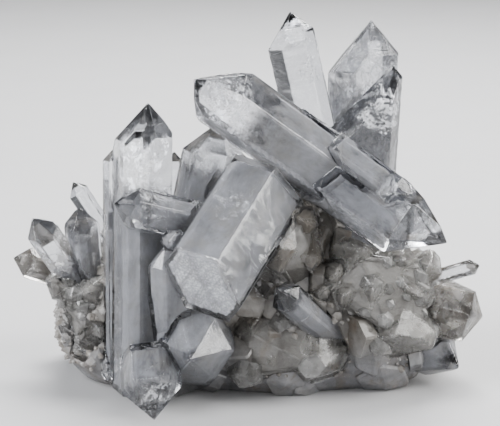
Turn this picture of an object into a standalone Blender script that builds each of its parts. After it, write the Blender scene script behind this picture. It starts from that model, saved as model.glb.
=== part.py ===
"""A quartz crystal cluster: clear, milky and frosted crystals that stand on one piece of rock.

Metres, +Z up, +X to the right and -Y to the front. The cluster rests on the rock's flat base at Z = 0.
Each crystal is a six-sided prism with a six-faced pointed end. It is cleaved from a block by planes.
Where two crystals grow through each other, the earlier one in the list is whole, and the later one is
cut back to it. The rock is cut back to all of them, so each crystal sits in its own socket.
"""

import math
import random
from types import SimpleNamespace

import bmesh
import bpy
from mathutils import Matrix, Vector, noise

# Driving dimensions. Every place and size in the lists is in UNIT, which is one millimetre
# on a specimen of this width.
SPECIMEN_WIDTH = 0.150
UNIT = SPECIMEN_WIDTH / 150
CONTACT_GAP = 0.0003
END_SLOPE = 38.2
BLOCK_SIZE = SPECIMEN_WIDTH * 3
# Points closer than this are one point: first on a cleaved crystal, then on a cut one.
CLEAVED_MERGE = 0.00004
CUT_MERGE = 0.000004

# The rock: its centre, half width, half depth, height above and depth below the centre.
ROCK_CENTRE = (0, 8, 20)
ROCK_HALF_WIDTH = 61
ROCK_HALF_DEPTH = 29
ROCK_RISE = 25
ROCK_DROP = 25
ROCK_SQUARENESS = 2.9
ROCK_FINENESS = 4
# How far its surface swells in or out, and the span of the swellings.
ROCK_LUMPS = ((3.2, 21.0), (1.3, 8.0))
# The hump under the great crystals: its place, height and spread.
HUMP_PLACE = (14, 4)
HUMP_RISE = 17
HUMP_SPREAD = 26

LOOKS = {
    "clear": ((0.62, 0.65, 0.68), 0.08),
    "milky": ((0.52, 0.54, 0.58), 0.25),
    "frosted": ((0.60, 0.61, 0.63), 0.55),
    "smoky": ((0.38, 0.36, 0.34), 0.35),
    "rock": ((0.30, 0.28, 0.25), 0.85),
}

# How uneven the end of a blunt small crystal is, and how the crowd's crystals lean in to the rock.
BLUNT = 0.5
CROWD_LEAN = 0.9
CROWD_DIP = 8

CRYSTALS = []


def crystal(name, tip, root, sides, turn=0, drops=(0,) * 6, slopes=(END_SLOPE,) * 6, look="milky"):
    """Add a crystal to the list.

    The line from root to tip is its axis. The first side faces the front, swung by turn degrees,
    and the others follow every 60 degrees round to the right. sides holds their distances from the
    axis. drops says how far below the tip each end face meets the axis, and slopes the angle that
    it makes with the axis.
    """
    CRYSTALS.append(
        SimpleNamespace(
            name=name,
            tip=Vector(tip) * UNIT,
            root=Vector(root) * UNIT,
            sides=[side * UNIT for side in sides],
            turn=math.radians(turn),
            drops=[drop * UNIT for drop in drops],
            slopes=[math.radians(slope) for slope in slopes],
            look=look,
        )
    )


def stub(name, tip, root, width, turn=0, bluntness=0.2, look="frosted"):
    """Add a small crystal whose uneven sides and end faces are drawn from a fixed seed."""
    draw = random.Random(name)
    half = width / 2
    sides = [half * draw.uniform(0.82, 1.12) for _ in range(6)]
    drops = [width * bluntness * draw.uniform(0, 1) for _ in range(6)]
    crystal(name, tip, root, sides, turn, drops, look=look)


# The great crystals, which stay whole.
crystal(
    "great_diagonal", (-18.3, -30, 103), (33, -6, 61), (8, 10.3, 11.2, 8, 8.5, 7.5), turn=-5,
    drops=(3, 0, 1, 0, 2, 0), look="clear",
)
crystal(
    "diagonal_rider", (50.5, -25, 63.5), (26, -15, 80), (5.5, 5, 5, 5, 3.6, 3.6), turn=15,
    drops=(3, 0, 1, 0, 1, 3),
)
crystal(
    "lower_diagonal", (62, -26, 51.5), (12, -6, 83), (8, 12.5, 13.5, 8, 6.5, 6.5), turn=-5,
    drops=(2, 0, 0, 0, 4, 0), slopes=(30, 38.2, 38.2, 38.2, 20, 24), look="clear",
)
crystal(
    "centre_block", (-14.4, -42.5, 42.6), (4.5, -14.2, 67.1), (9.6, 10.5, 12.6, 10, 10.2, 13), turn=-25,
    drops=(-25, 0, -25, -25, -25, -25), slopes=(38.2, 73.2, 38.2, 38.2, 38.2, 38.2),
)
crystal(
    "left_tower", (-31, -18, 93.2), (-32, -26, 3.5), (8.5, 4.7, 7.3, 9, 11.6, 8.9), turn=-12,
    drops=(-3, 0, 0, 0, 0, 0),
)
crystal(
    "top_spire", (12.5, 6, 117.4), (31, 3.3, 36), (6.5, 5, 5.5, 6.5, 8, 8), turn=5, look="clear",
)
crystal(
    "right_spire_front", (44.5, 2, 101.3), (40.8, 2, 30), (8, 3, 2.6, 8, 16.5, 16.5), turn=10,
    drops=(0, 0, 0, 0, 0, 1), look="clear",
)
crystal(
    "right_spire", (38.3, 14, 113.3), (38, 11.6, 30), (8, 8.5, 9, 9, 13, 12), turn=25, look="clear",
)
crystal(
    "leaning_crystal", (-8.5, -8, 86), (-22, -16, 20), (8, 8, 8, 8, 9, 9), turn=-10,
)
crystal(
    "front_eye", (-17.8, -43, 19.5), (-14, -4, 20), (9.5, 11, 13, 14, 14.5, 10.5), turn=20,
)
crystal(
    "down_pointer", (-29, -45, 1.0), (-31, -30, 17), (8, 8, 8, 8, 8, 8), look="clear",
)
crystal(
    "front_upright", (7.9, -36, 39.8), (28, -14, 16), (4.5, 4.5, 4.5, 4.5, 4.5, 4.5),
)
crystal(
    "tablet", (-40.5, -38, 66.5), (-17, -22, 57), (4, 5, 6, 4, 5, 6), look="clear",
)

# The crystals beside the tower and the block.
stub("tower_slab", (-24.5, -31, 54), (-24.5, -24, 14), 13, turn=20, look="milky")
stub("tower_flank", (-41, -13, 80), (-41.5, -17, 4), 8, turn=0, look="milky")
stub("tower_shoulder", (-23.5, -4, 76), (-25, -6, 30), 8, turn=10, look="clear")
stub("tower_foot", (-42, -21, 2.2), (-43.5, -12, 16), 7, turn=0, look="milky")
stub("tablet_button", (-24.5, -38, 54.5), (-22, -24, 53), 5.5, turn=0, look="milky")
stub("block_sliver", (3.5, -33, 36), (7, -14, 41), 6, turn=15, look="clear")
stub("frosted_foot", (21, -33, 11), (20, -6, 16), 20, turn=10)
stub("hearth_high", (-1, -29, 24), (2, -6, 20), 13, turn=20, look="smoky")
stub("hearth_low", (7, -29, 13), (8, -6, 16), 12, turn=0, look="smoky")
stub("hearth_foot", (-3, -27, 5.5), (0, -6, 14), 11, turn=10)

# The crystals at the left end.
stub("left_spike", (-56.5, 6, 63), (-43, 4, 42), 6, turn=20, bluntness=0.05, look="clear")
stub("left_clear", (-68, -12, 56), (-52, -2, 27), 9.5, turn=5, look="clear")
stub("left_blunt", (-53.3, -6, 58.9), (-51, -2, 19), 10.5, turn=10, look="clear")
stub("left_round", (-75.5, -2, 40.5), (-55, 6, 31), 8.5, turn=20, look="smoky")
stub("left_low", (-53.5, -20, 20), (-42, 0, 16), 16, turn=0, look="smoky")
stub("left_shard", (-61, -12, 21), (-50, -4, 14), 6, turn=30, look="clear")
stub("left_crumb_high", (-65, -13, 36), (-50, 0, 28), 10, turn=0)
stub("left_crumb_low", (-58, -14, 11), (-42, 0, 14), 12, turn=15)
stub("left_knuckle", (-53, -18, 34), (-46, 0, 26), 12, turn=25)

# The short crystals in the middle, under the great diagonal.
stub("middle_left", (9.5, -30, 40), (7, -14, 62), 12, turn=30, look="smoky")
stub("middle_right", (19, -25, 40), (17, -8, 58), 8, turn=0, look="smoky")
stub("middle_high", (17, -27, 59), (12, -4, 52), 10, turn=20, look="smoky")
stub("middle_low", (16, -22, 33), (18, 0, 30), 9, turn=5, look="smoky")

# The blunt crystals crowded on the right.
for name, tip, width, turn in (
    ("crowd_one", (33, -28, 47), 12, 0),
    ("crowd_two", (26.5, -27, 41.5), 9, 20),
    ("crowd_three", (49, -22, 44), 10, 40),
    ("crowd_four", (57.5, -19, 42.5), 9.5, 10),
    ("crowd_five", (40, -29, 36.5), 12, 25),
    ("crowd_six", (52, -27, 36), 13, 5),
    ("crowd_seven", (30.5, -29, 36), 8.5, 15),
    ("crowd_eight", (22.5, -28, 37), 7.5, 30),
):
    stub(name, tip, (tip[0] * CROWD_LEAN, 0, tip[2] - CROWD_DIP), width, turn, BLUNT)
crystal(
    "great_lump", (42, -33, 22), (50, 2, 19), (12, 8.5, 8.5, 12, 8, 8), turn=8, drops=(0, 4, 5, 1, 3, 6),
    look="frosted",
)
stub("right_needle", (72.3, -12, 40.5), (56, -4, 33), 5, turn=10, look="clear")
stub("right_hexagon", (68.5, -24, 26.5), (60, 4, 24), 17, turn=0, look="smoky")
stub("right_tail", (67, -14, 5.5), (44, 4, 17), 14, turn=20, look="milky")
stub("right_chip", (69, 4, 11), (52, 6, 15), 9, turn=0, look="smoky")

# The crystals on the back.
stub("back_tower", (-10, 30, 76), (-6, 16, 18), 16, turn=10, look="milky")
stub("back_spire", (24, 34, 76), (18, 18, 20), 12, turn=40, look="clear")
stub("back_leaner", (-42, 34, 56), (-24, 14, 20), 12, turn=20, look="milky")
stub("back_diagonal", (58, 34, 50), (34, 14, 26), 11, turn=0, look="clear")
stub("back_low_left", (-34, 44.5, 24), (-26, 20, 18), 16, turn=30, look="milky")
stub("back_low_middle", (6, 45, 31), (2, 18, 20), 18, turn=0)
stub("back_low_right", (40, 44, 24), (32, 16, 20), 15, turn=15)
stub("back_stub_left", (-16, 41, 44), (-10, 16, 30), 12, turn=25, look="smoky")
stub("back_end", (-62, 22, 34), (-40, 12, 22), 13, turn=0)


def axes_of(row):
    """The crystal's frame: forward, right and along, at right angles to each other."""
    along = (row.tip - row.root).normalized()
    front = Vector((0, -1, 0))
    forward = (front - along * front.dot(along)).normalized()
    return forward, along.cross(forward), along


def planes_of(row):
    """Every plane of a crystal, as (point, outward normal)."""
    forward, right, along = axes_of(row)
    angles = [row.turn + step * math.pi / 3 for step in range(6)]
    radials = [forward * math.cos(angle) + right * math.sin(angle) for angle in angles]
    planes = [(row.root + radial * side, radial) for radial, side in zip(radials, row.sides)]
    for radial, slope, drop in zip(radials, row.slopes, row.drops):
        planes.append((row.tip - along * drop, radial * math.cos(slope) + along * math.sin(slope)))
    planes.append((row.root, -along))
    return planes


def cut_flat(solid, point, normal):
    """Cut away what lies beyond a plane, and close the cut with a flat face."""
    cut = bmesh.ops.bisect_plane(
        solid,
        geom=solid.verts[:] + solid.edges[:] + solid.faces[:],
        plane_co=point,
        plane_no=normal,
        clear_outer=True,
    )
    rim = [piece for piece in cut["geom_cut"] if isinstance(piece, bmesh.types.BMEdge)]
    if rim:
        bmesh.ops.contextual_create(solid, geom=rim)


def cleave(planes, centre, grow=0.0):
    """A closed convex solid bounded by the planes, each moved outwards by grow."""
    solid = bmesh.new()
    bmesh.ops.create_cube(solid, size=BLOCK_SIZE, matrix=Matrix.Translation(centre))
    for point, normal in planes:
        cut_flat(solid, point + normal * grow, normal)
    bmesh.ops.remove_doubles(solid, verts=solid.verts[:], dist=CLEAVED_MERGE)
    bmesh.ops.recalc_face_normals(solid, faces=solid.faces[:])
    return solid


def crystal_solid(row, grow=0.0):
    return cleave(planes_of(row), (row.tip + row.root) / 2, grow)


# Making the solids.


def rock_solid():
    """A squarish, lumpy stone with a flat base."""
    rock = bmesh.new()
    bmesh.ops.create_icosphere(rock, subdivisions=ROCK_FINENESS, radius=1)
    centre = Vector(ROCK_CENTRE) * UNIT
    for vert in rock.verts:
        way = vert.co.normalized()
        power = ROCK_SQUARENESS
        reach = (abs(way.x) ** power + abs(way.y) ** power + abs(way.z) ** power) ** (-1 / power)
        height = ROCK_RISE if way.z > 0 else ROCK_DROP
        size = Vector((ROCK_HALF_WIDTH, ROCK_HALF_DEPTH, height)) * UNIT
        point = Vector((way.x * size.x, way.y * size.y, way.z * size.z)) * reach
        bulge = sum(
            noise.noise(point / (span * UNIT)) * lift * UNIT for lift, span in ROCK_LUMPS
        )
        spread = Vector((point.x + centre.x, point.y + centre.y)) - Vector(HUMP_PLACE) * UNIT
        hump = HUMP_RISE * UNIT * math.exp(-((spread.length / (HUMP_SPREAD * UNIT)) ** 2))
        vert.co = centre + point + way * bulge + Vector((0, 0, hump * max(way.z, 0)))
    cut_flat(rock, (0, 0, 0), (0, 0, -1))
    bmesh.ops.recalc_face_normals(rock, faces=rock.faces[:])
    return rock


def to_object(name, solid, look=None):
    mesh = bpy.data.meshes.new(name)
    solid.to_mesh(mesh)
    solid.free()
    obj = bpy.data.objects.new(name, mesh)
    bpy.context.scene.collection.objects.link(obj)
    if look:
        obj.data.materials.append(material(name, look))
    return obj


def material(name, look):
    """The piece's own Principled material."""
    colour, roughness = LOOKS[look]
    made = bpy.data.materials.new(name)
    made.use_nodes = True
    shader = made.node_tree.nodes["Principled BSDF"]
    shader.inputs["Base Color"].default_value = (*colour, 1)
    shader.inputs["Roughness"].default_value = roughness
    shader.inputs["Metallic"].default_value = 0
    return made


def box_of(obj):
    points = [vert.co for vert in obj.data.vertices]
    low = Vector(min(point[axis] for point in points) for axis in range(3))
    high = Vector(max(point[axis] for point in points) for axis in range(3))
    return low, high


def boxes_meet(one, other):
    return all(one[0][axis] < other[1][axis] and other[0][axis] < one[1][axis] for axis in range(3))


def keep_largest(mesh):
    """Keep only the closed piece of a mesh that has the most surface."""
    solid = bmesh.new()
    solid.from_mesh(mesh)
    bmesh.ops.remove_doubles(solid, verts=solid.verts[:], dist=CUT_MERGE)
    left = set(solid.faces)
    pieces = []
    while left:
        piece = {left.pop()}
        to_visit = list(piece)
        while to_visit:
            face = to_visit.pop()
            for edge in face.edges:
                for other in edge.link_faces:
                    if other in left:
                        left.remove(other)
                        piece.add(other)
                        to_visit.append(other)
        pieces.append(piece)
    pieces.sort(key=lambda piece: sum(face.calc_area() for face in piece))
    spare = [face for piece in pieces[:-1] for face in piece]
    bmesh.ops.delete(solid, geom=spare, context="FACES")
    solid.to_mesh(mesh)
    solid.free()


def cut_back(obj, cutters):
    """Cut an object back to every cutter that meets it."""
    box = box_of(obj)
    used = [cutter for cutter in cutters if boxes_meet(box, box_of(cutter))]
    if not used:
        return
    for cutter in used:
        boolean = obj.modifiers.new(cutter.name, "BOOLEAN")
        boolean.operation = "DIFFERENCE"
        boolean.solver = "EXACT"
        boolean.object = cutter
    bpy.context.view_layer.update()
    graph = bpy.context.evaluated_depsgraph_get()
    result = bpy.data.meshes.new_from_object(obj.evaluated_get(graph))
    obj.modifiers.clear()
    obj.data = result
    keep_largest(result)


def cutter_for(row):
    """The crystal grown by the contact gap, as a hidden cutter."""
    cutter = to_object(row.name + "_cutter", crystal_solid(row, grow=CONTACT_GAP))
    cutter.hide_render = True
    cutter.display_type = "WIRE"
    return cutter


def centre_on_base(objects):
    """Move every object so that the origin is under the middle of the whole cluster."""
    boxes = [box_of(obj) for obj in objects]
    low = Vector(min(box[0][axis] for box in boxes) for axis in range(3))
    high = Vector(max(box[1][axis] for box in boxes) for axis in range(3))
    shift = Vector((-(low.x + high.x) / 2, -(low.y + high.y) / 2, -low.z))
    for obj in objects:
        obj.location = shift


def main():
    for obj in list(bpy.data.objects):
        bpy.data.objects.remove(obj, do_unlink=True)
    cutters = []
    made = []
    for row in CRYSTALS:
        obj = to_object(row.name, crystal_solid(row), row.look)
        cut_back(obj, cutters)
        made.append(obj)
        cutters.append(cutter_for(row))
    rock = to_object("matrix_rock", rock_solid(), "rock")
    cut_back(rock, cutters)
    made.append(rock)
    for cutter in cutters:
        bpy.data.objects.remove(cutter, do_unlink=True)
    centre_on_base(made)


main()
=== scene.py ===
"""Looks of the quartz crystal cluster: glassy skins, milky hearts, healed cracks, druse and rock."""

import math
import random

import bmesh
import bpy
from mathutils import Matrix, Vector, noise
from mathutils.bvhtree import BVHTree


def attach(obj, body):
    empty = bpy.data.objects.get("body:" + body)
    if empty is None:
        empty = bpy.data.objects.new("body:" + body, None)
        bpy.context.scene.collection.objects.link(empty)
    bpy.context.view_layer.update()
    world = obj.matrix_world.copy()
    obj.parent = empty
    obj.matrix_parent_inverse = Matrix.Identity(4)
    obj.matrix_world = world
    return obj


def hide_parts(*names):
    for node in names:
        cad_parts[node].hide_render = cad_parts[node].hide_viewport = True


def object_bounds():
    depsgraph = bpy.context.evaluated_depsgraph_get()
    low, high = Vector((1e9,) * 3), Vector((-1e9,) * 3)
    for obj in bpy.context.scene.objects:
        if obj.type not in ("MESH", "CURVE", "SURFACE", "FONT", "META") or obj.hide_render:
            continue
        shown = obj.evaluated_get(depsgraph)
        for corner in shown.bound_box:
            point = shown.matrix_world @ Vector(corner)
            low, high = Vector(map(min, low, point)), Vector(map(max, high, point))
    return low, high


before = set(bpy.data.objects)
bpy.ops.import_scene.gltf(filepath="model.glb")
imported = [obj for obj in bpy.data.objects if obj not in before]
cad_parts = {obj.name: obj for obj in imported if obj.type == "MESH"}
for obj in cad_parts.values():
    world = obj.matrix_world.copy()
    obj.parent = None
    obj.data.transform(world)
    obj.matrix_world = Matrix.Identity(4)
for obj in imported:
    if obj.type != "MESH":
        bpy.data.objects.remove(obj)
cad_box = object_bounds()

MM = 0.001
# The crystals' places are measured from the middle of the rock; this takes them to the frame's origin.
MIDDLE = Vector((0.9, 3.1, 0.0))
BACK_FACE = cad_box[1][1]
QUARTZ_IOR = 1.544
# The width of a worn edge, and the gaps under which points are joined, before bevelling and on loading.
EDGE_WIDTH = 0.3 * MM
TINY = 0.3 * MM
MERGE = 0.002 * MM
# Under the first angle two faces are one face; over the others their edge is bevelled, or shaded sharp.
FLAT_ANGLE = math.radians(1.0)
BEVEL_ANGLE = math.radians(18)
SHARP_ANGLE = math.radians(16)
# Side of the grid that a crystal's faces are cut into.
CELL = 4.9 * MM
# For each look: the length of the clear tip and of the fade behind it in mm, and how milky the body is.
USUAL_FILL = {
    "clear": (12, 16, 0.8), "milky": (2, 9, 1.0), "frosted": (-3, 5, 0.8), "smoky": (1, 9, 0.75),
}


class Crystal:
    """One crystal: where its tip and root are, and how the milk fills it behind a clear tip (mm)."""

    def __init__(self, name, tip, root, look, clear=None, fade=None, milk=None, cracks=0, lump=False,
                 frosted=(0, 0, 0), bright=(0, 0, 0), breaks=()):
        self.name = name
        self.tip = (Vector(tip) + MIDDLE) * MM
        root = (Vector(root) + MIDDLE) * MM
        self.look = look
        self.along = (self.tip - root).normalized()
        toward = Vector((0, -1, 0))
        self.forward = (toward - self.along * toward.dot(self.along)).normalized()
        self.right = self.along.cross(self.forward)
        fill = zip((clear, fade, milk), USUAL_FILL[look])
        self.clear, self.fade, self.milk = (usual if given is None else given for given, usual in fill)
        self.cracks = cracks
        self.lump = lump
        self.frosted = Vector(frosted)
        # Faces turned to this side get a painted highlight: white strokes and milk close under the skin, like
        # etched faces.
        self.bright = Vector(bright)
        self.breaks = [
            ((Vector(place) + MIDDLE) * MM, Vector(across), size * MM)
            for place, across, size in breaks
        ]


# The painted-highlight sides stand for reflections: the faces turned that way are painted white like frost.
HEROES = [
    Crystal("great_diagonal", (-18.3, -30, 103), (33, -6, 61), "clear", 15, 22, 1.0, cracks=6,
            frosted=(-0.09, 0.1, 0.99), bright=(-0.46, -0.4, -0.79)),
    Crystal("diagonal_rider", (50.5, -25, 63.5), (26, -15, 80), "milky", 4, 14, 0.9, cracks=2),
    Crystal("lower_diagonal", (62, -26, 51.5), (12, -6, 83), "clear", 8, 20, 0.9, cracks=4,
            bright=(-0.59, -0.54, -0.6)),
    Crystal("centre_block", (-14.4, -42.5, 42.6), (4.5, -14.2, 67.1), "milky", -6, 12, 1.0, cracks=2,
            frosted=(-0.46, -0.82, -0.33), breaks=[((-5.5, -31.5, 64.2), (-0.12, -0.61, 0.79), 6.5)]),
    Crystal("left_tower", (-31, -18, 93.2), (-32, -26, 3.5), "milky", 22, 13, 1.0, cracks=4),
    Crystal("top_spire", (12.5, 6, 117.4), (31, 3.3, 36), "clear", 32, 36, 0.8, cracks=4),
    Crystal("right_spire_front", (44.5, 2, 101.3), (40.8, 2, 30), "clear", 8, 26, 0.8, cracks=4),
    Crystal("right_spire", (38.3, 14, 113.3), (38, 11.6, 30), "clear", 8, 26, 0.85, cracks=5,
            frosted=(-0.45, -0.63, 0.64)),
    Crystal("leaning_crystal", (-8.5, -8, 86), (-22, -16, 20), "milky", 8, 16, 1.0, cracks=2),
    Crystal("front_eye", (-17.8, -43, 19.5), (-14, -4, 20), "milky", 0, 8, 1.0, cracks=2),
    Crystal("down_pointer", (-29, -45, 1), (-31, -30, 17), "clear", 4, 12, 0.85, cracks=1),
    Crystal("front_upright", (7.9, -36, 39.8), (28, -14, 16), "milky", 3, 10, 1.0, cracks=1,
            breaks=[((16, -27.2, 30.3), (-0.53, -0.58, 0.62), 6)]),
    Crystal("tablet", (-40.5, -38, 66.5), (-17, -22, 57), "clear", 3, 16, 0.85, cracks=2),
]
STUBS = [
    Crystal("tower_slab", (-24.5, -31, 54), (-24.5, -24, 14), "milky", -4, 5),
    Crystal("tower_flank", (-41, -13, 80), (-41.5, -17, 4), "milky", 10, 14),
    Crystal("tower_shoulder", (-23.5, -4, 76), (-25, -6, 30), "clear", 12, 16),
    Crystal("tower_foot", (-42, -21, 2.2), (-43.5, -12, 16), "milky"),
    Crystal("tablet_button", (-24.5, -38, 54.5), (-22, -24, 53), "milky", -4, 3),
    Crystal("block_sliver", (3.5, -33, 36), (7, -14, 41), "clear"),
    Crystal("frosted_foot", (21, -33, 11), (20, -6, 16), "frosted", lump=True),
    Crystal("hearth_high", (-1, -29, 24), (2, -6, 20), "smoky", lump=True),
    Crystal("hearth_low", (7, -29, 13), (8, -6, 16), "smoky", lump=True),
    Crystal("hearth_foot", (-3, -27, 5.5), (0, -6, 14), "frosted", lump=True),
    Crystal("left_spike", (-56.5, 6, 63), (-43, 4, 42), "clear"),
    Crystal("left_clear", (-68, -12, 56), (-52, -2, 27), "clear", cracks=1),
    Crystal("left_blunt", (-53.3, -6, 58.9), (-51, -2, 19), "clear", 3, 10, 0.7, cracks=1),
    Crystal("left_round", (-75.5, -2, 40.5), (-55, 6, 31), "smoky"),
    Crystal("left_low", (-53.5, -20, 20), (-42, 0, 16), "smoky", 3, 12, 0.7, cracks=2),
    Crystal("left_shard", (-61, -12, 21), (-50, -4, 14), "clear"),
    Crystal("left_crumb_high", (-65, -13, 36), (-50, 0, 28), "frosted", lump=True),
    Crystal("left_crumb_low", (-58, -14, 11), (-42, 0, 14), "frosted", lump=True),
    Crystal("left_knuckle", (-53, -18, 34), (-46, 0, 26), "frosted", lump=True),
    Crystal("middle_left", (9.5, -30, 40), (7, -14, 62), "smoky", -2, 6, 0.95),
    Crystal("middle_right", (19, -25, 40), (17, -8, 58), "smoky", -2, 6, 0.95),
    Crystal("middle_high", (17, -27, 59), (12, -4, 52), "smoky", -2, 6, 0.95),
    Crystal("middle_low", (16, -22, 33), (18, 0, 30), "smoky", lump=True),
    Crystal("great_lump", (42, -33, 22), (50, 2, 19), "frosted", lump=True),
    Crystal("right_needle", (72.3, -12, 40.5), (56, -4, 33), "clear"),
    Crystal("right_hexagon", (68.5, -24, 26.5), (60, 4, 24), "smoky", 3, 10, 0.6, cracks=2),
    Crystal("right_tail", (67, -14, 5.5), (44, 4, 17), "milky"),
    Crystal("right_chip", (69, 4, 11), (52, 6, 15), "smoky"),
    Crystal("back_tower", (-10, 30, 76), (-6, 16, 18), "milky", 14, 16, 1.0, cracks=2),
    Crystal("back_spire", (24, 34, 76), (18, 18, 20), "clear", 18, 24, 0.9, cracks=2),
    Crystal("back_leaner", (-42, 34, 56), (-24, 14, 20), "milky", 8, 14, 1.0, cracks=1),
    Crystal("back_diagonal", (58, 34, 50), (34, 14, 26), "clear", 12, 14, 0.9, cracks=2),
    Crystal("back_low_left", (-34, 44.5, 24), (-26, 20, 18), "milky", cracks=1),
    Crystal("back_low_middle", (6, 45, 31), (2, 18, 20), "frosted"),
    Crystal("back_low_right", (40, 44, 24), (32, 16, 20), "frosted"),
    Crystal("back_stub_left", (-16, 41, 44), (-10, 16, 30), "smoky"),
    Crystal("back_end", (-62, 22, 34), (-40, 12, 22), "frosted"),
]
CROWD_TIPS = {
    "one": (33, -28, 47), "two": (26.5, -27, 41.5), "three": (49, -22, 44), "four": (57.5, -19, 42.5),
    "five": (40, -29, 36.5), "six": (52, -27, 36), "seven": (30.5, -29, 36), "eight": (22.5, -28, 37),
}
CROWD = [
    Crystal("crowd_" + count, (x, y, z), (0.9 * x, 0, z - 8), "frosted", lump=True)
    for count, (x, y, z) in CROWD_TIPS.items()
]
CRYSTALS = HEROES + STUBS + CROWD


# ---------------------------------------------------------------- node trees

class Web:
    """Adds nodes to a tree. A value that is a socket is linked, any other is set on the input."""

    def __init__(self, tree):
        self.tree = tree

    def put(self, socket, value):
        if isinstance(value, bpy.types.NodeSocket):
            self.tree.links.new(value, socket)
        elif value is not None:
            socket.default_value = value

    def add(self, kind, values=(), named=None, **settings):
        node = self.tree.nodes.new(kind)
        for key, setting in settings.items():
            setattr(node, key, setting)
        for socket, value in zip(node.inputs, values):
            self.put(socket, value)
        for key, value in (named or {}).items():
            self.put(node.inputs[key], value)
        return node

    def maths(self, operation, *values, clamp=False):
        return self.add("ShaderNodeMath", values, operation=operation, use_clamp=clamp).outputs[0]

    def times(self, first, second, clamp=False):
        return self.maths("MULTIPLY", first, second, clamp=clamp)

    def plus(self, first, second):
        return self.maths("ADD", first, second)

    def minus(self, first, second):
        return self.maths("SUBTRACT", first, second)

    def vector(self, operation, *values):
        node = self.add("ShaderNodeVectorMath", values, operation=operation)
        return node.outputs["Value" if operation in ("DOT_PRODUCT", "LENGTH", "DISTANCE") else "Vector"]

    def ranged(self, value, low, high, to_low=0.0, to_high=1.0, smooth=True):
        kind = "SMOOTHSTEP" if smooth else "LINEAR"
        node = self.add("ShaderNodeMapRange", (value, low, high, to_low, to_high), interpolation_type=kind)
        return node.outputs[0]

    def cloud(self, vector, scale, detail=3.0, roughness=0.55, distortion=0.0):
        named = {"Vector": vector, "Scale": scale, "Detail": detail,
                 "Roughness": roughness, "Distortion": distortion}
        return self.add("ShaderNodeTexNoise", named=named).outputs["Fac"]

    def cells(self, vector, scale, feature="F1", randomness=1.0):
        named = {"Vector": vector, "Scale": scale, "Randomness": randomness}
        return self.add("ShaderNodeTexVoronoi", named=named, feature=feature).outputs["Distance"]

    def mixed(self, share, first, second):
        node = self.add("ShaderNodeMix", data_type="RGBA")
        self.put(node.inputs["Factor"], share)
        colours = [socket for socket in node.inputs if socket.type == "RGBA"]
        self.put(colours[0], first)
        self.put(colours[1], second)
        return next(socket for socket in node.outputs if socket.type == "RGBA")


def grey(red, green=None, blue=None):
    return (red, red if green is None else green, red if blue is None else blue, 1.0)


def new_group(name, kind, inputs, outputs):
    """A node group with the given sockets, and its web, inputs and outputs."""
    tree = bpy.data.node_groups.new(name, kind)
    for label, socket_type, value in inputs:
        socket = tree.interface.new_socket(label, in_out="INPUT", socket_type=socket_type)
        if value is not None:
            socket.default_value = value
    for label, socket_type in outputs:
        tree.interface.new_socket(label, in_out="OUTPUT", socket_type=socket_type)
    web = Web(tree)
    return tree, web, web.add("NodeGroupInput"), web.add("NodeGroupOutput")


FLOAT, VECTOR, INT = "NodeSocketFloat", "NodeSocketVector", "NodeSocketInt"
GEOMETRY, OBJECT, MATERIAL = "NodeSocketGeometry", "NodeSocketObject", "NodeSocketMaterial"


def milk_clouds_group():
    """Milk that thickens from the tip to the root, with a wispy border."""
    inputs = [("Growth", VECTOR, None), ("Milk", FLOAT, 1.0), ("Wisps", FLOAT, 0.9), ("Scale", FLOAT, 120.0)]
    outputs = [("Mask", FLOAT), ("Cloud", FLOAT)]
    tree, web, given, out = new_group("milk_clouds", "ShaderNodeTree", inputs, outputs)
    drift = web.add("ShaderNodeMapping", (given.outputs["Growth"],)).outputs[0]
    drift.node.inputs["Scale"].default_value = (1.0, 1.0, 0.6)
    broad = web.cloud(drift, given.outputs["Scale"], 5.0, 0.62, 0.6)
    fine = web.cloud(drift, 900.0, 3.0, 0.6)
    both = web.plus(web.times(broad, 0.8), web.times(fine, 0.2))
    swing = web.times(web.minus(both, 0.5), given.outputs["Wisps"])
    raised = web.plus(given.outputs["Milk"], web.times(swing, 2.0))
    present = web.ranged(given.outputs["Milk"], 0.0, 0.1)
    web.put(out.inputs["Mask"], web.times(web.ranged(raised, 0.15, 0.85), present))
    web.put(out.inputs["Cloud"], both)
    return tree


def growth_lines_group():
    """Fine steps across the prism faces, low mounds and small pits, as a height."""
    inputs = [("Growth", VECTOR, None), ("Steps", FLOAT, 1.0), ("Mounds", FLOAT, 1.0), ("Grit", FLOAT, 0.0)]
    tree, web, given, out = new_group("growth_lines", "ShaderNodeTree", inputs, [("Height", FLOAT)])
    across = web.add("ShaderNodeMapping", (given.outputs["Growth"],)).outputs[0]
    across.node.inputs["Scale"].default_value = (0.12, 0.12, 1.0)
    lines = web.cloud(across, 900.0, 4.0, 0.7)
    broad = web.cloud(across, 230.0, 2.0, 0.5, 0.4)
    mounds = web.cells(given.outputs["Growth"], 260.0, "SMOOTH_F1")
    pits = web.cloud(given.outputs["Growth"], 2400.0, 3.0, 0.7)
    total = web.times(web.plus(lines, broad), given.outputs["Steps"])
    total = web.plus(total, web.times(mounds, given.outputs["Mounds"]))
    total = web.plus(total, web.times(pits, given.outputs["Grit"]))
    web.put(out.inputs["Height"], total)
    return tree


def stains_group():
    """Iron stain and dust that gather towards the base and in hollows."""
    inputs = [("Place", VECTOR, None), ("Amount", FLOAT, 0.5)]
    tree, web, given, out = new_group("stains", "ShaderNodeTree", inputs, [("Rust", FLOAT), ("Dust", FLOAT)])
    rust = web.cloud(given.outputs["Place"], 55.0, 6.0, 0.65, 0.8)
    spots = web.cells(given.outputs["Place"], 420.0)
    low = web.minus(0.72, web.times(given.outputs["Amount"], 0.35))
    high = web.plus(low, 0.16)
    field = web.ranged(rust, low, high)
    speck = web.ranged(spots, 0.26, 0.12)
    gate = web.ranged(rust, 0.5, 0.66)
    dotted = web.times(web.times(speck, gate), given.outputs["Amount"])
    web.put(out.inputs["Rust"], web.maths("MAXIMUM", field, dotted))
    web.put(out.inputs["Dust"], web.ranged(web.cloud(given.outputs["Place"], 140.0, 5.0, 0.7), 0.42, 0.68))
    return tree


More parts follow.
